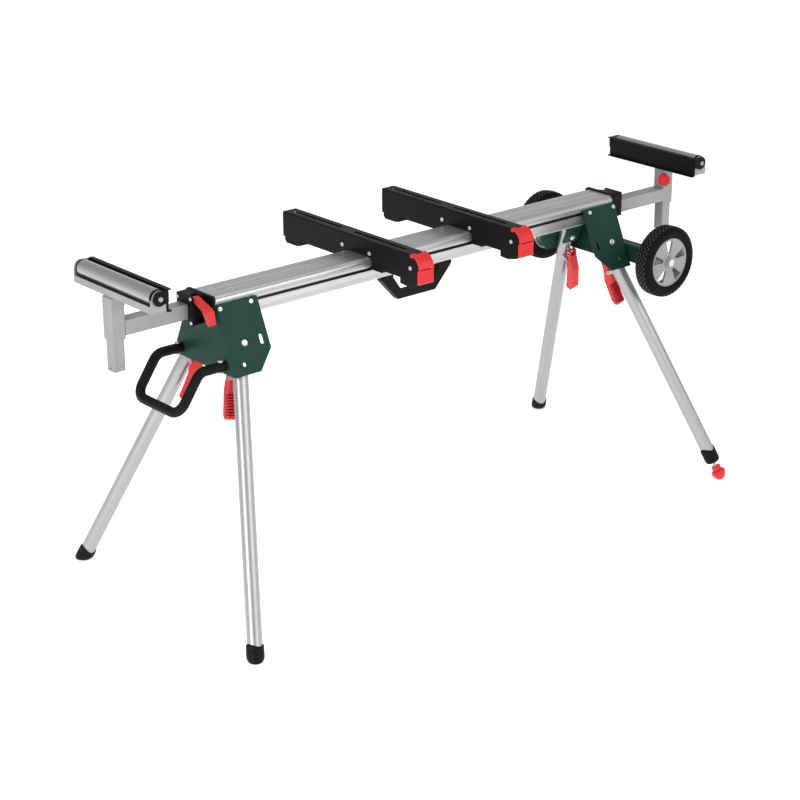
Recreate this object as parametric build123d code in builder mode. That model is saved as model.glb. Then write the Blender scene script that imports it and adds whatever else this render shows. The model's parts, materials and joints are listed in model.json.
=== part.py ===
# Folding saw stand: aluminium beam, two roller extensions, two saw rails, four folding legs, two wheels.
# Frame: X along the beam towards the wheels, Y to the back, Z up, origin on the floor below the middle.
import os
from math import cos, radians, sin, tan

from build123d import *

os.makedirs("parts", exist_ok=True)

# ---------------------------------------------------------------- driving dimensions, mm
beam_half = 686.0
beam_top = 800.0
beam_bottom = 738.0
flange_half_w = 52.7
wall_half_w = 50.5
slot_top = 775.0
slot_bottom = 767.0

tube_size = 38.4
tube_offset = 20.5
tube_z = 760.0
bore_gap = 0.3
tube_wall = 2.0
tube_inner_end = 500.0

sleeve_x = 926.5
sleeve_size = 38.0
sleeve_bottom = 733.0
sleeve_top = 840.0
post_size = 32.0
post_bottom = 654.0
post_top = 843.0

roller_x = 919.0
roller_z = 877.0
roller_radius = 20.5
roller_half = 152.0
axle_radius = 5.0
running_fit = 0.05

leg_splay = 24.0
leg_lean = 15.0
pivot_x = 637.0
pivot_y = 78.0
pivot_z = 677.0
leg_radius = 19.0
leg_wall = 1.6
ear_gap = 0.05
leg_top = -24.0
leg_end = 750.0
wing_offset = 24.0
sheet = 3.0

lock_t = 53.0
lock_radius = 5.5
lever_hinge_t = 80.0
lever_hinge_off = -31.0

wheel_x = 706.0
wheel_z = 650.0
wheel_radius = 100.0
wheel_outer_y = 262.0
wheel_width = 50.0
rim_radius = 68.0
wheel_axle_radius = 8.0

rail_width = 47.0
rail_wall = 3.0
rail_top = 843.6
rail_bottom = 776.0
rail_back = 316.0
rail_front = -201.0
rail_centres = {"saw_rail_left": -170.7, "saw_rail_right": 174.4}
nose_y = -205.0
nose_z = 809.0

bracket_out = 690.0
bracket_in = 563.5

splay_sin, splay_cos = sin(radians(leg_splay)), cos(radians(leg_splay))
lean_sin, lean_cos = sin(radians(leg_lean)), cos(radians(leg_lean))
ends = {"left": -1, "right": 1}
sides = {"front": -1, "back": 1}


def save(shape, name):
    """Label one finished piece and write it as its own STEP file."""
    shape.label = name
    export_step(shape, f"parts/{name}.step")


def save_ends(shape, name):
    """Write a left-end piece and its copy turned half round the middle of the stand."""
    save(shape, f"{name}_left")
    save(shape.rotate(Axis.Z, 180), f"{name}_right")


def leg_plane(end, side):
    """Plane at a leg's pivot: x down the leg, z out of the splayed bracket wing."""
    down = (end * lean_sin, side * splay_sin * lean_cos, -splay_cos * lean_cos)
    return Plane(
        origin=(end * pivot_x, side * pivot_y, pivot_z),
        x_dir=down,
        z_dir=(0, side * splay_cos, splay_sin),
    )


def wing_plane(end, side, offset):
    """Plane parallel to a wing: origin on the pivot axis, x towards the stand's middle."""
    normal = (0, side * splay_cos, splay_sin)
    pivot = Vector(end * pivot_x, side * pivot_y, pivot_z)
    return Plane(origin=pivot + Vector(*normal) * offset, x_dir=(-end, 0, 0), z_dir=normal)


# ---------------------------------------------------------------- beam
def beam_outline():
    """Half of the extrusion's section in the YZ plane, to be mirrored."""
    round_y = 36.0
    Polyline(
        (0, beam_bottom),
        (wall_half_w - 2, beam_bottom),
        (wall_half_w, beam_bottom + 2),
        (wall_half_w, slot_bottom),
        (43.5, slot_bottom),
        (43.5, slot_top),
        (51.7, slot_top),
        (51.7, 782.6),
        (50.2, 783.6),
        (50.2, 786.0),
        (flange_half_w, 787.0),
    )
    ThreePointArc((flange_half_w, 787.0), (48.6, 796.2), (round_y, beam_top))
    Line((round_y, beam_top), (0, beam_top))


with BuildPart() as beam:
    with BuildSketch(Plane.YZ.offset(-beam_half)):
        with BuildLine():
            beam_outline()
            mirror(about=Plane.YZ)
        make_face()
        with Locations((tube_offset, tube_z), (-tube_offset, tube_z)):
            Rectangle(tube_size + 2 * bore_gap, tube_size + 2 * bore_gap, mode=Mode.SUBTRACT)
        with Locations((20.5, 791), (-20.5, 791)):
            RectangleRounded(34, 11, 4, mode=Mode.SUBTRACT)
        with Locations((17, beam_top), (-17, beam_top), (31, beam_top), (-31, beam_top)):
            Rectangle(1.2, 1.4, mode=Mode.SUBTRACT)
    extrude(amount=2 * beam_half)
save(beam.part, "beam")

# ---------------------------------------------------------------- end covers and tube clamps
cover_out = 694.0
clamp_out = 728.0
clamp_wall_end = 736.0
cam_y = -8.0
cam_z = 791.0
cam_x = 713.0

with BuildPart() as end_cover:
    with BuildSketch(Plane.YZ.offset(-cover_out)):
        with Locations((0, 771)):
            RectangleRounded(106, 66, 9)
        with Locations((0, 794)):
            RectangleRounded(114, 20, 9)
        with Locations((tube_offset, tube_z)):
            Rectangle(tube_size + 1, tube_size + 1, mode=Mode.SUBTRACT)
    extrude(amount=cover_out - beam_half)
save_ends(end_cover.part, "end_cover")

with BuildPart() as tube_clamp:
    with BuildSketch(Plane.YZ.offset(-clamp_out)):
        with Locations((14.5, 765.5)):
            RectangleRounded(65, 75, 5)
        with Locations((tube_offset, tube_z - 11)):
            Rectangle(tube_size + 2 * bore_gap, tube_size + 2 * bore_gap + 22, mode=Mode.SUBTRACT)
        with Locations((tube_offset + tube_size, clamp_wall_end - 10)):
            Rectangle(tube_size, 20, mode=Mode.SUBTRACT)
    extrude(amount=clamp_out - cover_out)
    with Locations((-cam_x, -8, 794)):
        Box(22, 20.4, 24, mode=Mode.SUBTRACT)
    with Locations((-707, -17, 756)):
        Box(22, 8, 36, mode=Mode.SUBTRACT)
    with Locations(Plane(origin=(-cam_x, cam_y, cam_z), z_dir=(1, 0, 0))):
        Cylinder(2.5, 30)
save_ends(tube_clamp.part, "tube_clamp")

with BuildPart() as clamp_lever:
    with BuildSketch(Plane.YZ.offset(-cam_x - 9)):
        Polygon(
            (cam_y, 800),
            (-14, 799.5),
            (-68, 781),
            (-75, 776),
            (-81, 744),
            (-74, 740),
            (-66, 747),
            (-54, 765),
            (-48, 773),
            (-14, 788.5),
            (cam_y, 784),
            align=None,
        )
        with Locations((cam_y, cam_z)):
            Circle(8)
            Circle(2.5 + running_fit, mode=Mode.SUBTRACT)
    extrude(amount=18)
save_ends(clamp_lever.part, "clamp_lever")

# ---------------------------------------------------------------- extension arms
boss_start = 25.0
boss_end = 33.0
knob_start = 34.0
knob_radius = 18.0
knob_z = 808.0
corner = Vector(1, 1, 0).normalized()


def corner_plane(distance):
    """Plane across the diagonal of the left sleeve, at a distance from the sleeve's axis."""
    centre = Vector(-sleeve_x, tube_offset, knob_z) + corner * distance
    return Plane(origin=centre, x_dir=(0, 0, 1), z_dir=corner)


with BuildPart() as extension_arm:
    with BuildSketch(Plane.YZ.offset(-sleeve_x + sleeve_size / 2)):
        with Locations((tube_offset, tube_z)):
            RectangleRounded(tube_size, tube_size, 3)
            RectangleRounded(tube_size - 2 * tube_wall, tube_size - 2 * tube_wall, 1, mode=Mode.SUBTRACT)
    extrude(amount=tube_inner_end + sleeve_x - sleeve_size / 2)
    with BuildSketch(Plane.XY.offset(sleeve_bottom)):
        with Locations((-sleeve_x, tube_offset)):
            RectangleRounded(sleeve_size, sleeve_size, 2.5)
    extrude(amount=sleeve_top - sleeve_bottom)
    with BuildSketch(corner_plane(boss_start - 6)):
        Circle(8)
    extrude(amount=boss_end - boss_start + 6)
    with BuildSketch(Plane.XY.offset(sleeve_bottom)):
        with Locations((-sleeve_x, tube_offset)):
            RectangleRounded(post_size + 1, post_size + 1, 2)
    extrude(amount=sleeve_top - sleeve_bottom, mode=Mode.SUBTRACT)
    with BuildSketch(corner_plane(15)):
        Circle(4 + running_fit)
    extrude(amount=25, mode=Mode.SUBTRACT)
save_ends(extension_arm.part, "extension_arm")

with BuildPart() as height_post:
    with BuildSketch(Plane.XY.offset(post_bottom)):
        with Locations((-sleeve_x, tube_offset)):
            RectangleRounded(post_size, post_size, 3)
            RectangleRounded(post_size - 4, post_size - 4, 1.5, mode=Mode.SUBTRACT)
    extrude(amount=post_top - post_bottom)
    with Locations(Plane(origin=(-sleeve_x, tube_offset, post_bottom + 8), z_dir=(1, 0, 0))):
        Cylinder(2.5, 2 * post_size, mode=Mode.SUBTRACT)
save_ends(height_post.part, "height_post")

with BuildPart() as post_knob:
    with BuildSketch(corner_plane(21.9)):
        Circle(4)
    extrude(amount=knob_start - 21.9)
    with BuildSketch(corner_plane(knob_start)):
        Circle(knob_radius)
        with PolarLocations(knob_radius + 4.5, 8):
            Circle(6.5, mode=Mode.SUBTRACT)
    extrude(amount=13)
    with BuildSketch(corner_plane(knob_start + 13)):
        Circle(13.5)
    extrude(amount=4, taper=25)
    with BuildSketch(corner_plane(knob_start + 17)):
        Circle(7)
    extrude(amount=-1.5, mode=Mode.SUBTRACT)
save_ends(post_knob.part, "post_knob")

# ---------------------------------------------------------------- roller heads
cradle_left = -942.0
cradle_right = -900.0
cradle_half = 163.0
ear_inner = 160.0

with BuildPart() as roller_cradle:
    with BuildSketch(Plane.XZ.offset(-cradle_half)):
        Polygon(
            (cradle_left, 860),
            (cradle_left, post_top),
            (cradle_right, post_top),
            (cradle_right, 860),
            (cradle_right - 2.5, 860),
            (cradle_right - 2.5, post_top + 2.5),
            (cradle_left + 2.5, post_top + 2.5),
            (cradle_left + 2.5, 860),
            align=None,
        )
    extrude(amount=2 * cradle_half)
    with BuildSketch(Plane.XZ.offset(-cradle_half)):
        with Locations(((cradle_left + cradle_right) / 2, (post_top + roller_z) / 2)):
            Rectangle(cradle_right - cradle_left, roller_z - post_top)
        with Locations((-roller_x, roller_z)):
            Circle(19)
    extrude(amount=cradle_half - ear_inner)
    with BuildSketch(Plane.XZ.offset(ear_inner)):
        with Locations(((cradle_left + cradle_right) / 2, (post_top + roller_z) / 2)):
            Rectangle(cradle_right - cradle_left, roller_z - post_top)
        with Locations((-roller_x, roller_z)):
            Circle(19)
    extrude(amount=cradle_half - ear_inner)
    with Locations(Plane(origin=(-roller_x, 0, roller_z), z_dir=(0, 1, 0))):
        Cylinder(axle_radius, 2 * 168)
        with Locations((0, 0, 170), (0, 0, -170)):
            Cylinder(5.8, 4)
save_ends(roller_cradle.part, "roller_cradle")

with BuildPart() as roller:
    with BuildSketch(Plane.XZ.offset(-roller_half)):
        with Locations((-roller_x, roller_z)):
            Circle(roller_radius)
            Circle(roller_radius - 2, mode=Mode.SUBTRACT)
    extrude(amount=2 * roller_half)
save_ends(roller.part, "roller")

with BuildPart() as roller_caps:
    for start in (-roller_half - 6, roller_half - 6):
        with BuildSketch(Plane.XZ.offset(start)):
            with Locations((-roller_x, roller_z)):
                Circle(roller_radius - 2)
                Circle(axle_radius + running_fit, mode=Mode.SUBTRACT)
        extrude(amount=12)
    for start in (-roller_half - 6, roller_half):
        with BuildSketch(Plane.XZ.offset(start)):
            with Locations((-roller_x, roller_z)):
                Circle(roller_radius)
                Circle(axle_radius + running_fit, mode=Mode.SUBTRACT)
        extrude(amount=6)
save_ends(roller_caps.part, "roller_caps")

stop_web = -897.5
stop_tip = -885.5
stop_bottom = 840.0
stop_top = 895.5
arm_inner = 164.5

with BuildPart() as flip_stop:
    with BuildSketch(Plane.XZ.offset(-arm_inner)):
        Polygon(
            (stop_web, stop_bottom),
            (stop_tip, stop_bottom),
            (stop_tip, stop_bottom + sheet),
            (stop_web + sheet, stop_bottom + sheet),
            (stop_web + sheet, stop_top - sheet),
            (stop_tip, stop_top - sheet),
            (stop_tip, stop_top),
            (stop_web, stop_top),
            align=None,
        )
    extrude(amount=2 * arm_inner)
    for start in (-arm_inner - sheet, arm_inner):
        with BuildSketch(Plane.XZ.offset(start)):
            Polygon(
                (-roller_x, roller_z - 18),
                (stop_web + sheet, roller_z - 12),
                (stop_web + sheet, stop_top - sheet),
                (-roller_x, roller_z + 18),
                align=None,
            )
            with Locations((-roller_x, roller_z)):
                Circle(18)
                Circle(axle_radius + running_fit, mode=Mode.SUBTRACT)
        extrude(amount=sheet)
save_ends(flip_stop.part, "flip_stop")

# ---------------------------------------------------------------- leg brackets
wing_bottom = 616.0
wing_top = 782.0


def wing_y(z):
    """Distance of the wing's outer face from the middle plane, at a height."""
    face_y = pivot_y + wing_offset * splay_cos
    face_z = pivot_z + wing_offset * splay_sin
    return face_y + (face_z - z) * tan(radians(leg_splay))


def leg_bracket(end):
    """Folded sheet: end plate, two splayed wings, and the saddle under the beam."""
    with BuildPart() as bracket:
        with BuildSketch(Plane.YZ.offset(-bracket_out)):
            Polygon(
                (-wing_y(wing_top), wing_top),
                (-wing_y(wing_bottom), wing_bottom),
                (wing_y(wing_bottom), wing_bottom),
                (wing_y(wing_top), wing_top),
                align=None,
            )
        extrude(amount=bracket_out - bracket_in)
        fillet(bracket.edges().group_by(Axis.X)[0].filter_by(Axis.Y, reverse=True), 9)
        openings = [
            bracket.faces().sort_by(Axis.Z)[0],
            bracket.faces().sort_by(Axis.Z)[-1],
            bracket.faces().sort_by(Axis.X)[-1],
        ]
        offset(amount=-sheet, openings=openings, kind=Kind.INTERSECTION)
        with Locations((-bracket_out + 60, 0, beam_bottom - sheet + 50)):
            Box(130, 2 * flange_half_w + 2, 100, mode=Mode.SUBTRACT)
        with BuildSketch(Plane.XY.offset(beam_bottom - sheet)):
            with Locations((-bracket_out + sheet / 2 + 46, 0)):
                Rectangle(90, 2 * wing_y(beam_bottom) - 5)
        extrude(amount=sheet)
        for side in sides.values():
            with BuildSketch(wing_plane(-1, side, wing_offset - 10)):
                Polygon((73.6, side * 27), (15.5, side * 90), (90, side * 90), align=None)
                Polygon((73.6, side * 27), (90, side * 27), (90, side * 90), align=None)
                Circle(5)
                with Locations((-lock_t * lean_sin, side * lock_t * lean_cos)):
                    Circle(lock_radius + 0.7)
                with Locations((52.5, side * 1)):
                    SlotOverall(26, 11, rotation=90)
                with Locations((-41, side * -94), (51.5, side * -94)):
                    Circle(3)
            extrude(amount=20, mode=Mode.SUBTRACT)
        if end < 0:
            with Locations((-bracket_out, 90, 638), (-bracket_out, -90, 638)):
                Cylinder(12.6, 20, rotation=(0, 90, 0), mode=Mode.SUBTRACT)
    return bracket.part


save(leg_bracket(-1), "leg_bracket_left")
save(leg_bracket(1).rotate(Axis.Z, 180), "leg_bracket_right")

# ---------------------------------------------------------------- leg pivots
plate_half = 30.0
plate_low = 20.0
plate_high = 71.0

with BuildPart() as pivot_plates:
    for end in ends.values():
        for side in sides.values():
            with BuildSketch(wing_plane(end, side, -wing_offset)):
                turn = -end * side
                with Locations((0, turn * (plate_low - plate_high) / 2)):
                    RectangleRounded(2 * plate_half, plate_low + plate_high, 8)
                Circle(5, mode=Mode.SUBTRACT)
            extrude(amount=sheet)
save(pivot_plates.part, "pivot_plates")

with BuildPart() as pivot_bolts:
    for end in ends.values():
        for side in sides.values():
            with BuildSketch(wing_plane(end, side, -wing_offset - 8)):
                Circle(5)
            extrude(amount=2 * wing_offset + 8)
            with BuildSketch(wing_plane(end, side, wing_offset)):
                Circle(8.5)
            extrude(amount=4.5)
            with BuildSketch(wing_plane(end, side, -wing_offset - 6)):
                RegularPolygon(8.5, 6)
            extrude(amount=6)
save(pivot_bolts.part, "pivot_bolts")

# ---------------------------------------------------------------- legs
def leg_section(end, side, distance):
    """Plane across a leg at a distance below its pivot: x out of the wing, z down the leg."""
    plane = leg_plane(end, side)
    return Plane(origin=plane.origin + plane.x_dir * distance, x_dir=plane.z_dir, z_dir=plane.x_dir)


def leg_side(end, side, shift):
    """Plane along a leg, shifted sideways: x down the leg, y out of the wing."""
    plane = leg_plane(end, side)
    across = plane.x_dir.cross(plane.z_dir)
    return Plane(origin=plane.origin + across * shift, x_dir=plane.x_dir, z_dir=across)


leveller_tube_end = 700.0


def leg_tube(end, side, length):
    """Round leg tube with the two riveted ears and hinge pin of its release lever."""
    with BuildPart() as tube:
        for shift in (-15.5, 13.0):
            with BuildSketch(leg_side(end, side, shift)):
                with Locations((lever_hinge_t, -20)):
                    Rectangle(10, 22)
                with Locations((lever_hinge_t, lever_hinge_off)):
                    Circle(5.5)
            extrude(amount=2.5)
        with BuildSketch(leg_side(end, side, -17)):
            with Locations((lever_hinge_t, lever_hinge_off)):
                Circle(2.5)
        extrude(amount=34)
        with BuildSketch(leg_section(end, side, leg_top)):
            Circle(leg_radius + ear_gap)
        extrude(amount=length - leg_top, mode=Mode.SUBTRACT)
        with BuildSketch(leg_section(end, side, leg_top)):
            Circle(leg_radius)
            Circle(leg_radius - leg_wall, mode=Mode.SUBTRACT)
        extrude(amount=length - leg_top)
        with BuildSketch(leg_plane(end, side).offset(-30)):
            Circle(5 + running_fit)
            with Locations((lock_t, 0)):
                Circle(lock_radius + running_fit)
        extrude(amount=60, mode=Mode.SUBTRACT)
    return tube.part


def leg_foot(end, side):
    """Rubber cap on the leg's lower end, cut level with the floor."""
    with BuildPart() as foot:
        with BuildSketch(leg_section(end, side, 724)):
            Circle(22.5)
        extrude(amount=70)
        with BuildSketch(leg_section(end, side, 724)):
            Circle(leg_radius)
        extrude(amount=leg_end - 724, mode=Mode.SUBTRACT)
        split(bisect_by=Plane.XY, keep=Keep.TOP)
    return foot.part


def release_lever(end, side):
    """Ribbed squeeze lever on the inner side of a leg, forked round the lock pin."""
    with BuildPart() as lever:
        with BuildSketch(leg_side(end, side, -12)):
            with BuildLine():
                Polyline((46, -25), (80, -25), (112, -38), (160, -44), (176, -45), (179, -51))
                Polyline((179, -51), (177, -64), (165, -70), (100, -60), (66, -43), (46, -39), (46, -25))
            make_face()
        extrude(amount=24)
        with BuildSketch(leg_side(end, side, -8)):
            with Locations((50, -32)):
                Rectangle(24, 30)
        extrude(amount=16, mode=Mode.SUBTRACT)
        with BuildSketch(leg_side(end, side, -13)):
            with Locations((lever_hinge_t, lever_hinge_off)):
                Circle(2.5 + running_fit)
            with Locations((lock_t, lever_hinge_off)):
                Circle(3.2)
        extrude(amount=26, mode=Mode.SUBTRACT)
        with BuildSketch(leg_side(end, side, -9)):
            for step in range(8):
                with Locations((119 + 7 * step, -43 - step)):
                    Rectangle(4.2, 16)
        extrude(amount=22, mode=Mode.SUBTRACT)
    return lever.part


def lock_pin(end, side):
    """Spring pin through the leg up to the wing, with the crossbar that the lever pulls."""
    with BuildPart() as pin:
        with BuildSketch(leg_plane(end, side).offset(lever_hinge_off)):
            with Locations((lock_t, 0)):
                Circle(lock_radius)
        extrude(amount=wing_offset - sheet - 0.3 - lever_hinge_off)
        with BuildSketch(leg_plane(end, side).offset(lever_hinge_off - 3)):
            with Locations((lock_t, 0)):
                Circle(lock_radius + 0.8)
        extrude(amount=6)
        with BuildSketch(leg_side(end, side, -11.5)):
            with Locations((lock_t, lever_hinge_off)):
                Circle(2)
        extrude(amount=23)
    return pin.part


for end_name, end in ends.items():
    for side_name, side in sides.items():
        has_leveller = end > 0 and side < 0
        suffix = f"{side_name}_{end_name}"
        save(leg_tube(end, side, leveller_tube_end if has_leveller else leg_end), f"leg_{suffix}")
        save(release_lever(end, side), f"release_lever_{suffix}")
        save(lock_pin(end, side), f"lock_pin_{suffix}")
        if not has_leveller:
            save(leg_foot(end, side), f"foot_{suffix}")

with BuildPart() as leveller_cap:
    with BuildSketch(leg_section(1, -1, 657)):
        Circle(21.5)
        Circle(leg_radius, mode=Mode.SUBTRACT)
    extrude(amount=leveller_tube_end - 657)
    with BuildSketch(leg_section(1, -1, leveller_tube_end)):
        Circle(21.5)
        Circle(4 + running_fit, mode=Mode.SUBTRACT)
    extrude(amount=8)
save(leveller_cap.part, "foot_front_right")

with BuildPart() as leveller:
    with BuildSketch(leg_section(1, -1, 672)):
        Circle(4)
    extrude(amount=60)
    with BuildSketch(leg_section(1, -1, 720)) as foot_neck:
        Circle(13)
    with BuildSketch(leg_section(1, -1, 742)) as foot_rim:
        Circle(21)
    loft(sections=[foot_neck.sketch, foot_rim.sketch])
    with BuildSketch(leg_section(1, -1, 742)):
        Circle(21)
    extrude(amount=50)
    split(bisect_by=Plane.XY, keep=Keep.TOP)
save(leveller.part, "leveller")

# ---------------------------------------------------------------- handles
grip_radius = 12.5
arm_y = 90.0
arm_z = 638.0

with BuildPart() as lift_handle:
    with BuildLine() as grip_path:
        FilletPolyline(
            (-682, -arm_y, arm_z),
            (-764, -arm_y, arm_z),
            (-829, -arm_y, 544),
            (-829, arm_y, 544),
            (-764, arm_y, arm_z),
            (-682, arm_y, arm_z),
            radius=32,
        )
    with BuildSketch(Plane(origin=grip_path.line @ 0, z_dir=grip_path.line % 0)):
        Circle(grip_radius)
    sweep()
save(lift_handle.part, "lift_handle")

carry_x = -40.0
carry_front = -52.0
carry_depth = 22.0

with BuildPart() as carry_handle:
    with BuildSketch(Plane.XZ.offset(-carry_front - carry_depth)):
        with Locations((carry_x, 0)):
            Polygon((-120, 738), (-120, 731), (-62, 668), (62, 668), (120, 731), (120, 738), align=None)
            Polygon((-80, 738), (-80, 731), (-50, 689), (50, 689), (80, 731), (80, 738),
                    align=None, mode=Mode.SUBTRACT)
    extrude(amount=carry_depth)
    long_edges = carry_handle.edges().filter_by(Axis.X)
    fillet(long_edges.group_by(Axis.Z)[0], 4)
save(carry_handle.part, "carry_handle")

# ---------------------------------------------------------------- wheels
def wheel_axis_plane():
    """Plane through the axle: x along Y, y up, for profiles that turn about the axle."""
    return Plane(origin=(wheel_x, 0, wheel_z), x_dir=(0, 1, 0), z_dir=(1, 0, 0))


def wheel_pieces(side):
    """Tyre and five-pocket rim of one wheel."""
    outer = wheel_outer_y
    inner = outer - wheel_width
    axis = Axis((wheel_x, 0, wheel_z), (0, 1, 0))
    with BuildPart() as tyre:
        with BuildSketch(wheel_axis_plane()):
            with BuildLine():
                Polyline((side * (outer - 4), rim_radius), (side * (inner + 4), rim_radius))
                Spline(
                    (side * (inner + 4), rim_radius),
                    (side * inner, 84),
                    (side * (inner + 9), 98.5),
                )
                ThreePointArc(
                    (side * (inner + 9), 98.5),
                    (side * (outer - wheel_width / 2), wheel_radius),
                    (side * (outer - 9), 98.5),
                )
                Spline(
                    (side * (outer - 9), 98.5),
                    (side * outer, 84),
                    (side * (outer - 4), rim_radius),
                )
            make_face()
        revolve(axis=axis)
    with BuildPart() as rim:
        with BuildSketch(wheel_axis_plane()):
            for low, high, y_in, y_out in (
                (rim_radius - 4, rim_radius, inner + 5, outer - 5),
                (14, rim_radius - 2, outer - 12, outer - 6),
                (wheel_axle_radius + running_fit, 16, inner + 3, outer - 3.5),
            ):
                with Locations((side * (y_in + y_out) / 2, (low + high) / 2)):
                    Rectangle(y_out - y_in, high - low)
        revolve(axis=axis)
        with BuildSketch(Plane.XZ.offset(-side * outer)):
            with Locations((wheel_x, wheel_z)):
                with PolarLocations(0, 5, start_angle=20):
                    Polygon((26, -4), (60, -13), (62, 0), (60, 13), (26, 4), align=None)
        extrude(amount=side * 14, mode=Mode.SUBTRACT)
    return tyre.part, rim.part


for side_name, side in sides.items():
    tyre_part, rim_part = wheel_pieces(side)
    save(tyre_part, f"tyre_{side_name}")
    save(rim_part, f"rim_{side_name}")

with BuildPart() as wheel_axle:
    with Locations(Plane(origin=(wheel_x, 0, wheel_z), z_dir=(0, 1, 0))):
        Cylinder(wheel_axle_radius, 2 * (wheel_outer_y - 3))
        with Locations((0, 0, wheel_outer_y), (0, 0, -wheel_outer_y)):
            Cylinder(10, 5.6)
save(wheel_axle.part, "wheel_axle")

carrier_half = 195.0
with BuildPart() as axle_carrier:
    with BuildSketch(Plane.XZ.offset(-carrier_half)):
        with Locations((wheel_x, 648)):
            Rectangle(32, 48)
        with Locations((wheel_x, 648 - sheet)):
            Rectangle(32 - 2 * sheet, 48, mode=Mode.SUBTRACT)
    extrude(amount=2 * carrier_half)
    for start in (-carrier_half, carrier_half - sheet):
        with BuildSketch(Plane.XZ.offset(start)):
            with Locations((wheel_x, 648)):
                Rectangle(32, 48)
            with Locations((wheel_x, wheel_z)):
                Circle(wheel_axle_radius, mode=Mode.SUBTRACT)
        extrude(amount=sheet)
save(axle_carrier.part, "axle_carrier")

# ---------------------------------------------------------------- saw rails
hinge_y = -207.0
hinge_z = 840.0
nose_radius = 29.5
jaw_gap = 1.1
jaw_top = 818.0
cheek_y = -229.0
screw_spots = ((64.0, 810.0), (-45.0, 810.0), (nose_y, nose_z))


def across_rail(centre, half):
    """YZ plane on the left side of a rail, half a width from its centre."""
    return Plane.YZ.offset(centre - half)


def saw_rail(centre):
    """Inverted channel that straddles the beam, with two long slots for the saw's bolts."""
    nose_end = nose_y - nose_radius
    with BuildPart() as rail:
        with BuildSketch(Plane.XZ.offset(-rail_back)):
            with Locations((centre, (rail_top + rail_bottom) / 2)):
                Rectangle(rail_width, rail_top - rail_bottom)
            with Locations((centre, (rail_top + rail_bottom) / 2 - rail_wall)):
                Rectangle(rail_width - 2 * rail_wall, rail_top - rail_bottom, mode=Mode.SUBTRACT)
        extrude(amount=rail_back - nose_end)
        fillet(rail.edges().filter_by(Axis.Y).group_by(Axis.Z)[-1], 4)
        with BuildSketch(across_rail(centre, 30)):
            with Locations((0, rail_bottom)):
                RectangleRounded(2 * flange_half_w + 1.4, 48.8, 10)
            with Locations((nose_end, 790)):
                Rectangle(2 * (cheek_y - nose_end), 38)
            with Locations(((rail_front + nose_end) / 2 - 5, 844)):
                Rectangle(rail_front - nose_end + 10, 11)
            with BuildSketch(mode=Mode.PRIVATE) as nose:
                with Locations(((nose_y + nose_end) / 2 - 5, nose_z + 20)):
                    Rectangle(nose_radius + 10, 40)
                with Locations((nose_y, nose_z)):
                    Circle(nose_radius, mode=Mode.SUBTRACT)
            add(nose.sketch)
            with Locations((hinge_y, hinge_z)):
                Circle(6.3)
            with Locations(*screw_spots):
                Circle(3)
        extrude(amount=60, mode=Mode.SUBTRACT)
        with BuildSketch(Plane.XY.offset(rail_top - 10)):
            with Locations((centre, 198), (centre, -59.5)):
                SlotOverall(206, 9, rotation=90)
        extrude(amount=20, mode=Mode.SUBTRACT)
    return rail.part


def rail_blocks(centre):
    """Plastic blocks inside a rail: two jaws that claw into the beam's side slots, two end feet."""
    half = rail_width / 2 - rail_wall - 0.2
    jaw = flange_half_w + jaw_gap
    claw_low, claw_high, claw_tip = slot_bottom + 0.6, slot_top - 0.6, 44.6
    with BuildPart() as blocks:
        with BuildSketch(across_rail(centre, half)):
            Polygon((jaw, jaw_top), (90, jaw_top), (90, claw_low), (claw_tip, claw_low),
                    (claw_tip, claw_high), (jaw, claw_high), align=None)
            Polygon((-36, 801.5), (-36, jaw_top), (-90, jaw_top), (-90, claw_low), (-claw_tip, claw_low),
                    (-claw_tip, claw_high), (-jaw, claw_high), (-jaw, 801.5), align=None)
            Polygon((-161, 800), (-161, 759), (-190, 757), (-222, 765), (-228.5, 775), (-228.5, 808),
                    (-218, 824), (-202.5, 824), (-202.5, 800), align=None)
            Polygon((246, 800), (246, 762), (262, 758), (306, 758), (313, 766), (313, 800), align=None)
            with Locations(*screw_spots):
                Circle(3, mode=Mode.SUBTRACT)
        extrude(amount=2 * half)
        with BuildSketch(across_rail(centre, 9)):
            with Locations((hinge_y, hinge_z)):
                Circle(5)
            with Locations((hinge_y, hinge_z - 12)):
                Rectangle(8, 24)
            with Locations((hinge_y, hinge_z)):
                Circle(2.5, mode=Mode.SUBTRACT)
        extrude(amount=18)
    return blocks.part


def rail_screws(centre):
    """Through screws of a rail with their heads, and the hinge pin of its clamp lever."""
    half = rail_width / 2
    with BuildPart() as screws:
        with BuildSketch(across_rail(centre, half + 1)):
            with Locations(*screw_spots):
                Circle(3)
        extrude(amount=rail_width + 2)
        for start in (-half - 3, half):
            with BuildSketch(Plane.YZ.offset(centre + start)):
                with Locations(*screw_spots):
                    Circle(5.6)
            extrude(amount=3)
        with BuildSketch(across_rail(centre, half - 1)):
            with Locations((hinge_y, hinge_z)):
                Circle(2.5)
        extrude(amount=rail_width - 2)
    return screws.part


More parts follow.
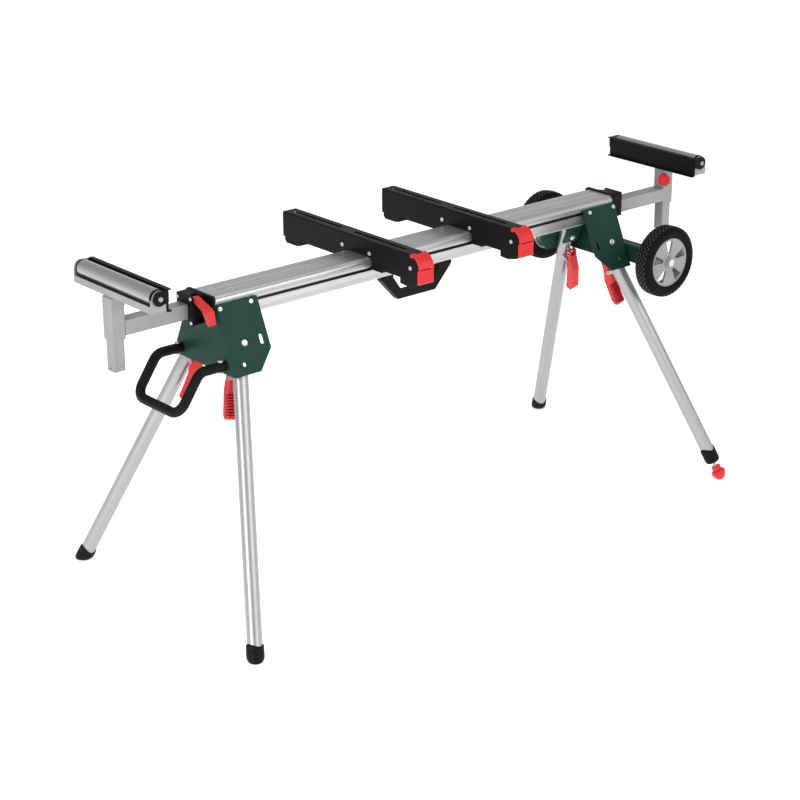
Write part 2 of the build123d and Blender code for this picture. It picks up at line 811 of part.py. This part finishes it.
def rail_lever(centre):
    """Curved quick-clamp lever over a rail's front end, hinged at its top edge."""
    shell_in, shell_out = nose_radius + 0.8, 36.5
    half = rail_width / 2
    start_angle = radians(93)

    def rim_point(radius, angle):
        return (nose_y + radius * cos(angle), nose_z + radius * sin(angle))

    with BuildPart() as lever:
        with BuildSketch(across_rail(centre, half)):
            with BuildLine():
                middle = radians(136)
                ThreePointArc(
                    rim_point(shell_out, start_angle),
                    rim_point(shell_out, middle),
                    (nose_y - shell_out, nose_z),
                )
                Polyline(
                    (nose_y - shell_out, nose_z),
                    (nose_y - shell_out - 0.5, 775),
                    (nose_y - shell_out + 3, 771),
                    (nose_y - 25, 771),
                    (nose_y - 25, nose_z - 2),
                    (nose_y - shell_in, nose_z),
                )
                ThreePointArc(
                    (nose_y - shell_in, nose_z),
                    rim_point(shell_in, middle),
                    rim_point(shell_in, start_angle),
                )
                Line(rim_point(shell_in, start_angle), rim_point(shell_out, start_angle))
            make_face()
            with Locations((hinge_y, hinge_z)):
                Circle(5.5)
                Circle(2.5 + running_fit, mode=Mode.SUBTRACT)
        extrude(amount=rail_width)
        with BuildSketch(across_rail(centre, 9.6)):
            with Locations((hinge_y, hinge_z)):
                Circle(6.3)
        extrude(amount=19.2, mode=Mode.SUBTRACT)
    return lever.part


for rail_name, centre in rail_centres.items():
    end_name = rail_name.split("_")[-1]
    save(saw_rail(centre), rail_name)
    save(rail_blocks(centre), f"rail_blocks_{end_name}")
    save(rail_screws(centre), f"rail_screws_{end_name}")
    save(rail_lever(centre), f"rail_lever_{end_name}")

# ---------------------------------------------------------------- fasteners fixed to the beam
with BuildPart() as frame_screws:
    for end in ends.values():
        for side in sides.values():
            with BuildSketch(wing_plane(end, side, wing_offset)):
                turn = -end * side
                with Locations((-41, turn * -94), (51.5, turn * -94)):
                    Circle(6)
            extrude(amount=3.5)
            with BuildSketch(wing_plane(end, side, wing_offset - 8)):
                with Locations((-41, turn * -94), (51.5, turn * -94)):
                    Circle(3)
            extrude(amount=8)
    for side in sides.values():
        with BuildSketch(Plane.XY.offset(arm_z - grip_radius - 5)):
            with Locations((-703, side * arm_y)):
                RegularPolygon(6, 6)
        extrude(amount=5)
        with BuildSketch(Plane.XY.offset(arm_z + grip_radius)):
            with Locations((-703, side * arm_y)):
                RegularPolygon(6, 6)
        extrude(amount=5)
    for end in ends.values():
        with BuildSketch(Plane.YZ.offset(end * clamp_out)):
            with Locations((-end * 41, 791), (end * 12, 796), (end * 12, 735)):
                Circle(4.5)
        extrude(amount=end * 3)
save(frame_screws.part, "frame_screws")
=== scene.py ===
# Looks of the folding saw stand: materials, moulded details, floor, studio light and camera.
import json
from math import cos, pi, radians, sin

import bmesh
import bpy
from mathutils import Matrix, Vector


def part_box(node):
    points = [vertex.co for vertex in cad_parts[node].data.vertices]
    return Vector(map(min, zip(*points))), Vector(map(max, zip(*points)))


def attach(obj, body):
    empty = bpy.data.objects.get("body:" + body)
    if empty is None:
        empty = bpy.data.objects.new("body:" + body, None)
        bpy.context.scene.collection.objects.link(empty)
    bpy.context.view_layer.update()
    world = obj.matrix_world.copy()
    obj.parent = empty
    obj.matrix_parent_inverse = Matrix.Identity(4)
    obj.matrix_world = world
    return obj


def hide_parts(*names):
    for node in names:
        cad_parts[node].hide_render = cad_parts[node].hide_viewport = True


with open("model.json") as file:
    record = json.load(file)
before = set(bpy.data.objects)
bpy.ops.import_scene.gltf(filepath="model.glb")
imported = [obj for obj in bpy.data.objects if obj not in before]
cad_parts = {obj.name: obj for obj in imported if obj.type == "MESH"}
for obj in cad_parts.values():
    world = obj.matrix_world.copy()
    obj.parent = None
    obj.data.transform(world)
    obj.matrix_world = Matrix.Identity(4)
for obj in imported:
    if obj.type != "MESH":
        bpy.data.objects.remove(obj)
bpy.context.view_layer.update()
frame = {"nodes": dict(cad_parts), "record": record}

ENDS = {"left": -1, "right": 1}
SIDES = {"front": -1, "back": 1}
SPLAY, LEAN = radians(24), radians(15)
METAL = 0.85
EDGE = 0.0008


# ---------------------------------------------------------------- node helpers
class Shader:
    """A material with a Principled shader and short calls for the nodes around it."""

    def __init__(self, name, colour, rough, metallic=0.0, specular=0.5):
        self.mat = bpy.data.materials.new(name)
        self.mat.use_nodes = True
        self.nodes = self.mat.node_tree.nodes
        self.links = self.mat.node_tree.links
        self.bsdf = self.nodes["Principled BSDF"]
        self.set("Base Color", (*colour, 1))
        self.set("Roughness", rough)
        self.set("Metallic", metallic)
        self.set("Specular IOR Level", specular)
        self.mat.diffuse_color = (*colour, 1)
        self.normal = None

    def set(self, socket, value):
        self.bsdf.inputs[socket].default_value = value

    def node(self, kind, **inputs):
        node = self.nodes.new(kind)
        for key, value in inputs.items():
            node.inputs[key.replace("_", " ")].default_value = value
        return node

    def link(self, a, b):
        self.links.new(a, b)

    def coords(self, scale):
        where = self.node("ShaderNodeTexCoord")
        mapping = self.node("ShaderNodeMapping", Scale=scale)
        self.link(where.outputs["Object"], mapping.inputs["Vector"])
        return mapping.outputs["Vector"]

    def noise(self, scale, detail=3.0, stretch=(1, 1, 1)):
        node = self.node("ShaderNodeTexNoise", Scale=scale, Detail=detail)
        self.link(self.coords(stretch), node.inputs["Vector"])
        return node.outputs["Fac"]

    def ramp(self, factor, stops):
        node = self.node("ShaderNodeValToRGB")
        node.color_ramp.elements[0].position = stops[0][0]
        node.color_ramp.elements[0].color = (*stops[0][1], 1)
        node.color_ramp.elements[1].position = stops[-1][0]
        node.color_ramp.elements[1].color = (*stops[-1][1], 1)
        for place, colour in stops[1:-1]:
            element = node.color_ramp.elements.new(place)
            element.color = (*colour, 1)
        self.link(factor, node.inputs["Fac"])
        return node.outputs["Color"]

    def span(self, factor, low, high, from_low=0.3, from_high=0.7):
        node = self.node("ShaderNodeMapRange")
        node.inputs["From Min"].default_value = from_low
        node.inputs["From Max"].default_value = from_high
        node.inputs["To Min"].default_value = low
        node.inputs["To Max"].default_value = high
        self.link(factor, node.inputs["Value"])
        return node.outputs["Result"]

    def painted_slot_shade(self, tint, low, high):
        """Paint shade into a colour between two heights, standing for the shadow inside a recessed
        slot.
        """
        where = self.node("ShaderNodeTexCoord")
        split = self.node("ShaderNodeSeparateXYZ")
        self.link(where.outputs["Object"], split.inputs["Vector"])
        inside = self.node("ShaderNodeMath")
        inside.operation = "COMPARE"
        inside.inputs[1].default_value = (low + high) / 2
        inside.inputs[2].default_value = (high - low) / 2
        self.link(split.outputs["Z"], inside.inputs[0])
        mix = self.node("ShaderNodeMix")
        mix.data_type = "RGBA"
        # Painted shade: inside the slot band the colour is mixed to this near-black grey.
        mix.inputs[7].default_value = (*grey(0.05), 1)
        self.link(inside.outputs["Value"], mix.inputs[0])
        self.link(tint, mix.inputs[6])
        return mix.outputs[2]

    def colour(self, source):
        self.link(source, self.bsdf.inputs["Base Color"])

    def rough(self, source):
        self.link(source, self.bsdf.inputs["Roughness"])

    def soft_edges(self, radius):
        node = self.node("ShaderNodeBevel", Radius=radius)
        node.samples = 4
        self._normal(node.outputs["Normal"])

    def _normal(self, output):
        self.link(output, self.bsdf.inputs["Normal"])
        self.normal = output

    def bump(self, height, distance, strength=1.0):
        node = self.node("ShaderNodeBump", Strength=strength, Distance=distance)
        self.link(height, node.inputs["Height"])
        if self.normal is not None:
            self.link(self.normal, node.inputs["Normal"])
        self._normal(node.outputs["Normal"])


def grey(value):
    return (value, value, value)


# ---------------------------------------------------------------- materials
def brushed_metal(name, tone, rough, along="x", fine=900, bands=0.10, groove=None):
    """Drawn or extruded metal: fine lines along one direction, and wider die bands beside them."""
    s = Shader(name, grey(tone), rough, METAL)
    s.soft_edges(EDGE)
    lines = s.noise(1.0, 2.0, (6, fine, fine) if along == "x" else (fine, 6, fine))
    wide = s.noise(1.0, 2.0, (0.3, 70, 70) if along == "x" else (70, 0.3, 70))
    mixed = s.node("ShaderNodeMath")
    mixed.operation = "ADD"
    s.link(s.span(lines, -0.3, 0.3), mixed.inputs[0])
    s.link(s.span(wide, 0.0, 1.0), mixed.inputs[1])
    dark, light = grey(tone * (1 - bands)), grey(tone * (1 + bands))
    tint = s.ramp(mixed.outputs["Value"], [(0.0, dark), (1.0, light)])
    # Painted shade is put into the slot band when one is given.
    s.colour(s.painted_slot_shade(tint, *groove) if groove else tint)
    s.rough(s.span(s.noise(7.0), rough - 0.04, rough + 0.07))
    s.bump(lines, 0.00002, 0.4)
    return s.mat


def painted(name, colour, rough, metallic=0.0, specular=0.4):
    """Powder coat: orange peel and a little cloudiness."""
    s = Shader(name, colour, rough, metallic, specular)
    s.soft_edges(EDGE)
    cloud = s.noise(9.0, 4.0)
    dark = tuple(c * 0.88 for c in colour)
    light = tuple(min(1, c * 1.12) for c in colour)
    s.colour(s.ramp(cloud, [(0.3, dark), (0.7, light)]))
    s.rough(s.span(cloud, rough - 0.05, rough + 0.06))
    s.bump(s.noise(2200, 2.0), 0.00004, 0.5)
    return s.mat


def moulded(name, colour, rough, grain=1600, depth=0.00005, specular=0.4):
    """Moulded plastic or rubber with a fine spark-eroded grain."""
    s = Shader(name, colour, rough, specular=specular)
    s.soft_edges(EDGE)
    cloud = s.noise(14.0, 3.0)
    dark = tuple(c * 0.9 for c in colour)
    light = tuple(min(1, c * 1.1) for c in colour)
    s.colour(s.ramp(cloud, [(0.3, dark), (0.7, light)]))
    s.rough(s.span(cloud, rough - 0.05, rough + 0.07))
    s.bump(s.noise(grain, 3.0), depth, 0.6)
    return s.mat


MATERIALS = {
    # The two heights below bound the beam's side slot, which gets painted shade.
    "beam_aluminium": brushed_metal("beam_extrusion", 0.52, 0.30, bands=0.16, groove=(0.7668, 0.7752)),
    "grey_steel": painted("grey_tube_paint", (0.30, 0.307, 0.315), 0.36, metallic=0.3),
    "roller_steel": brushed_metal("turned_roller", 0.42, 0.24, "y", 700, 0.04),
    "green_coat": painted("green_powder_coat", (0.0075, 0.042, 0.031), 0.42, specular=0.14),
    "black_coat": painted("black_powder_coat", (0.0052, 0.0054, 0.0058), 0.42, specular=0.09),
    "black_plastic": moulded("black_plastic", (0.005, 0.005, 0.0054), 0.45, specular=0.1),
    "clamp_black": moulded("clamp_plastic", (0.005, 0.005, 0.0053), 0.48, specular=0.1),
    "red_plastic": moulded("red_plastic", (0.68, 0.024, 0.027), 0.36, specular=0.3),
    "zinc_steel": brushed_metal("zinc_plate", 0.66, 0.26, fine=300),
    "foam_grip": moulded("foam_grip", (0.0048, 0.0048, 0.0052), 0.5, 1100, 0.00012, specular=0.12),
    "foot_rubber": moulded("foot_rubber", (0.005, 0.005, 0.0054), 0.5, specular=0.12),
    "tyre": moulded("tyre_rubber", (0.0035, 0.0035, 0.0038), 0.6, specular=0.08),
    "rim_silver": painted("rim_silver", (0.28, 0.287, 0.295), 0.34, metallic=0.35),
}


def leg_direction(end, side):
    return Vector((end * sin(LEAN), side * sin(SPLAY) * cos(LEAN), -cos(SPLAY) * cos(LEAN)))


def leg_metal(name, end, side):
    """Drawn tube whose fine lines run down this leg."""
    down = leg_direction(end, side)
    turn = down.to_track_quat("X", "Z").to_euler()
    s = Shader(name, grey(0.40), 0.34, METAL)
    s.soft_edges(0.0006)
    lines = s.node("ShaderNodeTexNoise", Scale=1.0, Detail=2.0)
    where = s.node("ShaderNodeTexCoord")
    back = s.node("ShaderNodeVectorRotate")
    back.rotation_type = "EULER_XYZ"
    back.invert = True
    back.inputs["Rotation"].default_value = turn
    stretch = s.node("ShaderNodeMapping", Scale=(6, 900, 900))
    s.link(where.outputs["Object"], back.inputs["Vector"])
    s.link(back.outputs["Vector"], stretch.inputs["Vector"])
    s.link(stretch.outputs["Vector"], lines.inputs["Vector"])
    s.colour(s.ramp(lines.outputs["Fac"], [(0.3, (0.38, 0.385, 0.39)), (0.7, (0.425, 0.43, 0.435))]))
    s.rough(s.span(s.noise(8.0), 0.33, 0.40))
    s.bump(lines.outputs["Fac"], 0.00001, 0.3)
    return s.mat


slots = {part["node"]: part["material_slot"] for part in frame["record"]["subparts"]}
for node_name, node in frame["nodes"].items():
    slot = slots[node_name]
    if slot == "leg_aluminium":
        side_name, end_name = node_name.split("_")[1:]
        mat = leg_metal(f"drawn_{node_name}", ENDS[end_name], SIDES[side_name])
    else:
        mat = MATERIALS[slot]
    for place in node.material_slots:
        place.material = mat

# ---------------------------------------------------------------- mesh helpers
def axes(origin, x_axis, z_axis):
    """Matrix of a local frame given in millimetres, so that local points are in millimetres too."""
    z = Vector(z_axis).normalized()
    y = z.cross(Vector(x_axis)).normalized()
    x = y.cross(z)
    turn = Matrix((x, y, z)).transposed().to_4x4()
    return Matrix.Translation(Vector(origin) / 1000) @ turn @ Matrix.Scale(0.001, 4)


def revolve(bm, profile, place, segments=40, shape=None):
    """Turn (radius, height) points about local z.

    shape(index, angle, radius, height) may bend a ring.
    """
    rings = []
    for index, (radius, height) in enumerate(profile):
        if radius == 0:
            rings.append([bm.verts.new(place @ Vector((0, 0, height)))])
            continue
        ring = []
        for step in range(segments):
            angle = 2 * pi * step / segments
            r, h = shape(index, angle, radius, height) if shape else (radius, height)
            ring.append(bm.verts.new(place @ Vector((r * cos(angle), r * sin(angle), h))))
        rings.append(ring)
    for low_ring, high_ring in zip(rings, rings[1:]):
        for step in range(segments):
            after = (step + 1) % segments
            if len(low_ring) == 1:
                bm.faces.new((low_ring[0], high_ring[after], high_ring[step]))
            elif len(high_ring) == 1:
                bm.faces.new((low_ring[step], low_ring[after], high_ring[0]))
            else:
                bm.faces.new((low_ring[step], low_ring[after], high_ring[after], high_ring[step]))
    return rings


def prism(bm, points, place, half):
    """Straight bar with a polygon section in local x and y, from -half to half along local z."""
    low_ring = [bm.verts.new(place @ Vector((x, y, -half))) for x, y in points]
    high_ring = [bm.verts.new(place @ Vector((x, y, half))) for x, y in points]
    count = len(points)
    for i in range(count):
        j = (i + 1) % count
        bm.faces.new((low_ring[i], low_ring[j], high_ring[j], high_ring[i]))
    bm.faces.new(low_ring[::-1])
    bm.faces.new(high_ring)


def piece(name, bm, body, material, stands_for=(), bevel=0.0, sharp=35):
    """Finish a mesh: outward normals, smooth shading between sharp edges, place in the frame."""
    bmesh.ops.recalc_face_normals(bm, faces=bm.faces)
    mesh = bpy.data.meshes.new(name)
    bm.to_mesh(mesh)
    bm.free()
    for face in mesh.polygons:
        face.use_smooth = True
    mesh.set_sharp_from_angle(angle=radians(sharp))
    mesh.materials.append(material)
    obj = bpy.data.objects.new(name, mesh)
    bpy.context.scene.collection.objects.link(obj)
    if bevel:
        soft = obj.modifiers.new("soft_edges", "BEVEL")
        soft.width = bevel
        soft.segments = 3
        soft.limit_method = "ANGLE"
        soft.angle_limit = radians(30)
    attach(obj, body)
    if stands_for:
        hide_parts(*stands_for)
    return obj


def hexagon(angle):
    """Radius factor that turns a circle into a hexagon."""
    part = (angle % (pi / 3)) - pi / 6
    return cos(pi / 6) / cos(part)


def pan_head(bm, centre, axis, radius, height):
    """Domed screw head with a hexagon socket; local z is the way it faces."""
    helper = (0, 0, 1) if abs(Vector(axis).normalized().z) < 0.9 else (1, 0, 0)
    profile = [(radius * 0.97, -0.4), (radius, 0.1), (radius, 0.5 * height),
               (radius * 0.93, 0.8 * height), (radius * 0.78, height), (radius * 0.52, height),
               (radius * 0.46, 0.45 * height), (0, 0.4 * height)]

    def socket(index, angle, r, h):
        return (r * hexagon(angle), h) if index in (5, 6) else (r, h)

    revolve(bm, profile, axes(centre, helper, axis), 36, socket)


def rivet_head(bm, centre, axis, radius, height):
    """Wide low head with a dished middle, as on a shoulder bolt."""
    helper = (0, 0, 1) if abs(Vector(axis).normalized().z) < 0.9 else (1, 0, 0)
    profile = [(radius * 0.98, -0.4), (radius, 0.2), (radius, 0.55 * height),
               (radius * 0.9, 0.9 * height),
               (radius * 0.74, height), (radius * 0.5, 0.93 * height), (radius * 0.42, 0.6 * height),
               (0, 0.55 * height)]
    revolve(bm, profile, axes(centre, helper, axis), 40)


def hex_nut(bm, centre, axis, radius, height):
    """Chamfered hexagon head or nut."""
    helper = (0, 0, 1) if abs(Vector(axis).normalized().z) < 0.9 else (1, 0, 0)
    profile = [(0, 0), (radius, 0), (radius, 0.85 * height), (radius * 0.9, height), (0, height)]

    def six(index, angle, r, h):
        return (r * hexagon(angle) / cos(pi / 6), h) if index < 3 else (r, h)

    revolve(bm, profile, axes(centre, helper, axis), 36, six)


def wing_normal(side):
    return Vector((0, side * cos(SPLAY), sin(SPLAY)))


def pivot(end, side):
    return Vector((end * 637.0, side * 78.0, 677.0))


def on_wing(end, side, x, y, offset):
    """Point on a bracket wing, in the wing's own x and y from the pivot, offset along its normal."""
    normal = wing_normal(side)
    x_axis = Vector((-end, 0, 0))
    return pivot(end, side) + normal * offset + x_axis * x + normal.cross(x_axis) * y


# ---------------------------------------------------------------- screws and bolts
zinc = MATERIALS["zinc_steel"]
heads = bmesh.new()
for end in ENDS.values():
    for side in SIDES.values():
        down = -end * side
        for x in (-41, 51.5):
            pan_head(heads, on_wing(end, side, x, down * -94, 24.0), wing_normal(side), 6, 3.5)
    for y, z in ((-end * 41, 791), (end * 12, 796), (end * 12, 735)):
        pan_head(heads, (end * 728, y, z), (end, 0, 0), 4.5, 3)
for side in SIDES.values():
    hex_nut(heads, (-703, side * 90, 650.4), (0, 0, 1), 6, 4.6)
    hex_nut(heads, (-703, side * 90, 625.6), (0, 0, -1), 6, 4.6)
piece("frame_screw_heads", heads, "frame", zinc, ("frame_screws",))

bolts = bmesh.new()
shank = [(0, -31.5), (5, -31.5), (5, 24), (0, 24)]
for end in ENDS.values():
    for side in SIDES.values():
        normal = wing_normal(side)
        rivet_head(bolts, on_wing(end, side, 0, 0, 24.0), normal, 8.5, 4.3)
        hex_nut(bolts, on_wing(end, side, 0, 0, -24.1), -normal, 8.4, 6)
        revolve(bolts, shank, axes(pivot(end, side), (1, 0, 0), normal), 24)
piece("pivot_bolt_set", bolts, "frame", zinc, ("pivot_bolts",))

RAILS = {"left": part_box("saw_rail_left"), "right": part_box("saw_rail_right")}
for end_name, (rail_low, rail_high) in RAILS.items():
    centre = (rail_low[0] + rail_high[0]) * 500
    half = (rail_high[0] - rail_low[0]) * 500
    screws = bmesh.new()
    for face in (-1, 1):
        for y, z in ((64, 810), (-45, 810), (-205, 809)):
            pan_head(screws, (centre + face * half, y, z), (face, 0, 0), 5.6, 3)
    revolve(screws, [(0, 1 - half), (2.5, 1 - half), (2.5, half - 1), (0, half - 1)],
            axes((centre, -207, 840), (0, 0, 1), (1, 0, 0)), 24)
    piece(f"rail_screw_set_{end_name}", screws, f"rail_{end_name}", zinc,
          (f"rail_screws_{end_name}",))

# ---------------------------------------------------------------- rail clamp levers
red = MATERIALS["red_plastic"]
NOSE = (-205.0, 809.0)


def nose_arc(radius, start, stop, steps):
    """Points on a circle about the rail's nose, angles in degrees from +Y."""
    turn = [radians(start + (stop - start) * i / steps) for i in range(steps + 1)]
    return [(NOSE[0] + radius * cos(a), NOSE[1] + radius * sin(a)) for a in turn]


for end_name, (rail_low, rail_high) in RAILS.items():
    centre = (rail_low[0] + rail_high[0]) * 500
    place = axes((centre, 0, 0), (0, 1, 0), (1, 0, 0))
    lever = bmesh.new()
    strap = nose_arc(35.4, 94, 176, 14) + nose_arc(30.6, 176, 94, 14)
    prism(lever, strap, place, 20.3)
    for edge in (-1, 1):
        rim = axes((centre + edge * 21.8, 0, 0), (0, 1, 0), (1, 0, 0))
        prism(lever, nose_arc(36.4, 93, 178, 14) + nose_arc(30.5, 178, 93, 14), rim, 1.7)
    out = NOSE[0] - 36.4
    pad = [(out + 1.6, 809), (out + 1.6, 775), (out + 3, 771.2), (out + 10.5, 771.2), (out + 10.6, 806),
           (NOSE[0] - 30.6, 809)]
    prism(lever, pad, place, 23.4)
    for step in range(5):
        z = 775.5 + 7.0 * step
        rib = [(out + 2.2, z - 0.3), (out - 0.4, z + 0.4), (out - 0.4, z + 2.6), (out + 2.2, z + 3.6)]
        prism(lever, rib, place, 22.0)
    for edge in (-1, 1):
        knuckle = axes((centre + edge * 16.5, -207, 840), (0, 1, 0), (1, 0, 0))
        collar = [(2.6, -6.8), (5.2, -6.8), (5.4, -6.2), (5.4, 6.2), (5.2, 6.8), (2.6, 6.8)]
        revolve(lever, collar, knuckle, 28)
    piece(f"ribbed_lever_{end_name}", lever, f"rail_clamp_{end_name}", red,
          (f"rail_lever_{end_name}",), bevel=0.0007)

# ---------------------------------------------------------------- feet
rubber = MATERIALS["foot_rubber"]


def leg_frame(end, side):
    """Local z down the leg from its pivot, local x across the leg."""
    down = leg_direction(end, side)
    return axes(pivot(end, side), down.cross(wing_normal(side)), down)


def at_floor(place, angle, radius, level):
    """Height down the leg at which a point of its surface is a given level above the floor."""
    start = place @ Vector((radius * cos(angle), radius * sin(angle), 0))
    one = place @ Vector((radius * cos(angle), radius * sin(angle), 1))
    return (level / 1000 - start.z) / (one.z - start.z)


def wavy(height, angle, depth=4.0):
    """Scalloped edge: two tabs that reach up on opposite sides of the leg."""
    return height + depth * (1 - cos(2 * angle))


def ring_marks(bm, place, radius, height):
    """Small raised ring on each of two opposite sides of a leg end."""
    for turn in (0, pi):
        spot = axes(place @ Vector((radius * cos(turn), 0, height)) * 1000,
                    (0, 1, 0), place.to_3x3() @ Vector((cos(turn), 0, 0)))
        revolve(bm, [(2.6, 0.2), (3.0, 0.9), (2.2, 1.0), (1.8, 0.3), (0, 0.2)], spot, 20)


def rubber_foot(name, end, side):
    place = leg_frame(end, side)
    levels = {7: 11.0, 8: 6.0, 9: 2.2, 10: 0.15}
    profile = [(19.05, 727), (20.8, 724.6), (21.7, 726), (22.2, 731), (22.2, 739.5),
               (21.7, 740.5), (22.3, 741.8), (22.3, 0), (21.0, 0), (18.6, 0), (15.0, 0), (0, 767.1)]

    def shape(index, angle, r, h):
        if index in levels:
            return r, at_floor(place, angle, r, levels[index])
        return r, wavy(h, angle) if index < 4 else h

    foot = bmesh.new()
    revolve(foot, profile, place, 56, shape)
    ring_marks(foot, place, 21.6, 731)
    piece(f"scalloped_{name}", foot, f"swing_leg_{name[5:]}", rubber, (name,))


for side_name, end_name in (("front", "left"), ("back", "left"), ("back", "right")):
    rubber_foot(f"foot_{side_name}_{end_name}", ENDS[end_name], SIDES[side_name])

place = leg_frame(1, -1)
cap = bmesh.new()
cap_profile = [(19.05, 661), (20.6, 657.8), (21.3, 660), (21.5, 666), (21.5, 697),
               (20.6, 702), (17.5, 706.4), (12, 708), (4.1, 708), (4.1, 700)]
revolve(cap, cap_profile, place, 56, lambda i, a, r, h: (r, wavy(h, a, 6.0) if i < 4 else h))
ring_marks(cap, place, 20.8, 667)
piece("scalloped_leveller_cap", cap, "swing_leg_front_right",
      MATERIALS["black_plastic"], ("foot_front_right",))

rod = bmesh.new()
thread = [(0, 672)] + [(4.0 if i % 2 else 3.4, 672 + 0.625 * i) for i in range(84)] + [(0, 725)]
revolve(rod, thread, place, 20)
piece("leveller_thread", rod, "levelling_foot", zinc)

disc = bmesh.new()
disc_profile = [(0, 720), (11.5, 720), (13, 721.5), (13.2, 733), (19.6, 736.5), (20.9, 740.5),
                (19.8, 744.5), (17.8, 750), (14, 757), (9, 762.2), (0, 765)]
revolve(disc, disc_profile, place, 48,
        lambda i, a, r, h: (r - (0.9 * abs(cos(6 * a)) if i in (2, 3) else 0), h))
piece("levelling_foot_disc", disc, "levelling_foot", red, ("leveller",))

# ---------------------------------------------------------------- tyres
TREAD_ROWS = (-15.5, -9.5, -3.2, 3.2, 9.5, 15.5)
TREAD_BLOCKS = 44

# Raised tread blocks in a lighter grey than the tyre: painted highlight for light caught on the tread.
tread_highlight = moulded("tread_painted_highlight", (0.11, 0.11, 0.113), 0.45)
for side_name, side in SIDES.items():
    low_corner, high_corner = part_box(f"tyre_{side_name}")
    hub = Vector(((low_corner[0] + high_corner[0]) * 500, (low_corner[1] + high_corner[1]) * 500,
                  (low_corner[2] + high_corner[2]) * 500))
    place = axes(hub, (1, 0, 0), (0, 1, 0))
    marks = bmesh.new()
    for row, y in enumerate(TREAD_ROWS):
        for step in range(TREAD_BLOCKS):
            angle = 2 * pi * (step + 0.5 * (row % 2)) / TREAD_BLOCKS
            radius = 99.75 - 0.0045 * y * y
            out = Vector((cos(angle), sin(angle), 0))
            ahead = Vector((-sin(angle), cos(angle), 0.35 * (1 if row % 2 else -1)))
            spot = place @ (out * radius + Vector((0, 0, y)))
            local = axes(spot * 1000, place.to_3x3() @ ahead, place.to_3x3() @ out)
            block = [(-3.6, -0.55), (3.6, -0.55), (3.6, 0.55), (-3.6, 0.55)]
            prism(marks, block, local, 0.28)
    piece(f"tread_{side_name}", marks, f"wheel_{side_name}", tread_highlight)

# ---------------------------------------------------------------- floor, light, camera
FLOOR_SIZE, FLOOR_GLOW = 60, 0.55
HORIZON, BELOW, ABOVE = 0.50, 0.85, 0.42
FOCAL_LENGTH = 95.2
CAMERA_PLACE = (-3.486, -4.022, 2.4115)
CAMERA_TURN, CAMERA_DOWN, CAMERA_ROLL = -40.463, 21.2, -0.202

scene = bpy.context.scene
scene.view_settings.view_transform = "Standard"

bpy.ops.mesh.primitive_plane_add(size=FLOOR_SIZE)
floor = bpy.context.object
floor.name = "floor"
floor_paint = Shader("floor_paint", grey(0.95), 0.9, specular=0.05)
floor_paint.colour(floor_paint.ramp(floor_paint.noise(3.0), [(0.3, grey(0.94)), (0.7, grey(0.96))]))
floor_paint.set("Emission Color", (*grey(1.0), 1))
floor_paint.set("Emission Strength", FLOOR_GLOW)
floor.data.materials.append(floor_paint.mat)

world = bpy.data.worlds.new("studio")
scene.world = world
world.use_nodes = True
tree = world.node_tree
background = tree.nodes["Background"]
direction = tree.nodes.new("ShaderNodeTexCoord")
split = tree.nodes.new("ShaderNodeSeparateXYZ")
sky = tree.nodes.new("ShaderNodeValToRGB")
sky.color_ramp.elements[0].position = 0.0
sky.color_ramp.elements[0].color = (*grey(BELOW), 1)
sky.color_ramp.elements[1].position = 1.0
sky.color_ramp.elements[1].color = (*grey(ABOVE), 1)
middle = sky.color_ramp.elements.new(0.5)
middle.color = (*grey(HORIZON), 1)
tree.links.new(direction.outputs["Generated"], split.inputs["Vector"])
tree.links.new(split.outputs["Z"], sky.inputs["Fac"])
tree.links.new(sky.outputs["Color"], background.inputs["Color"])
background.inputs["Strength"].default_value = 1.0


def softbox(name, place, target, width, height, power):
    light = bpy.data.lights.new(name, "AREA")
    light.shape = "RECTANGLE"
    light.size = width
    light.size_y = height
    light.energy = power
    lamp = bpy.data.objects.new(name, light)
    lamp.location = place
    lamp.rotation_mode = "QUATERNION"
    lamp.rotation_quaternion = (Vector(target) - Vector(place)).to_track_quat("-Z", "Y")
    scene.collection.objects.link(lamp)


softbox("strip_left", (-4.2, -0.9, 1.6), (-0.6, 0, 0.5), 1.8, 2.6, 70)
softbox("key_front", (0.8, -4.5, 3.0), (0, 0, 0.5), 5.0, 3.0, 104)
softbox("overhead", (0.0, 0.3, 4.2), (0, 0, 0), 3.5, 2.0, 30)

lens = bpy.data.cameras.new("camera")
lens.lens = FOCAL_LENGTH
lens.sensor_width = 36
lens.clip_end = 100
camera = bpy.data.objects.new("camera", lens)
camera.matrix_world = (
    Matrix.Translation(CAMERA_PLACE)
    @ Matrix.Rotation(radians(CAMERA_TURN), 4, "Z")
    @ Matrix.Rotation(radians(90 - CAMERA_DOWN), 4, "X")
    @ Matrix.Rotation(radians(CAMERA_ROLL), 4, "Z")
)
scene.collection.objects.link(camera)
scene.camera = camera
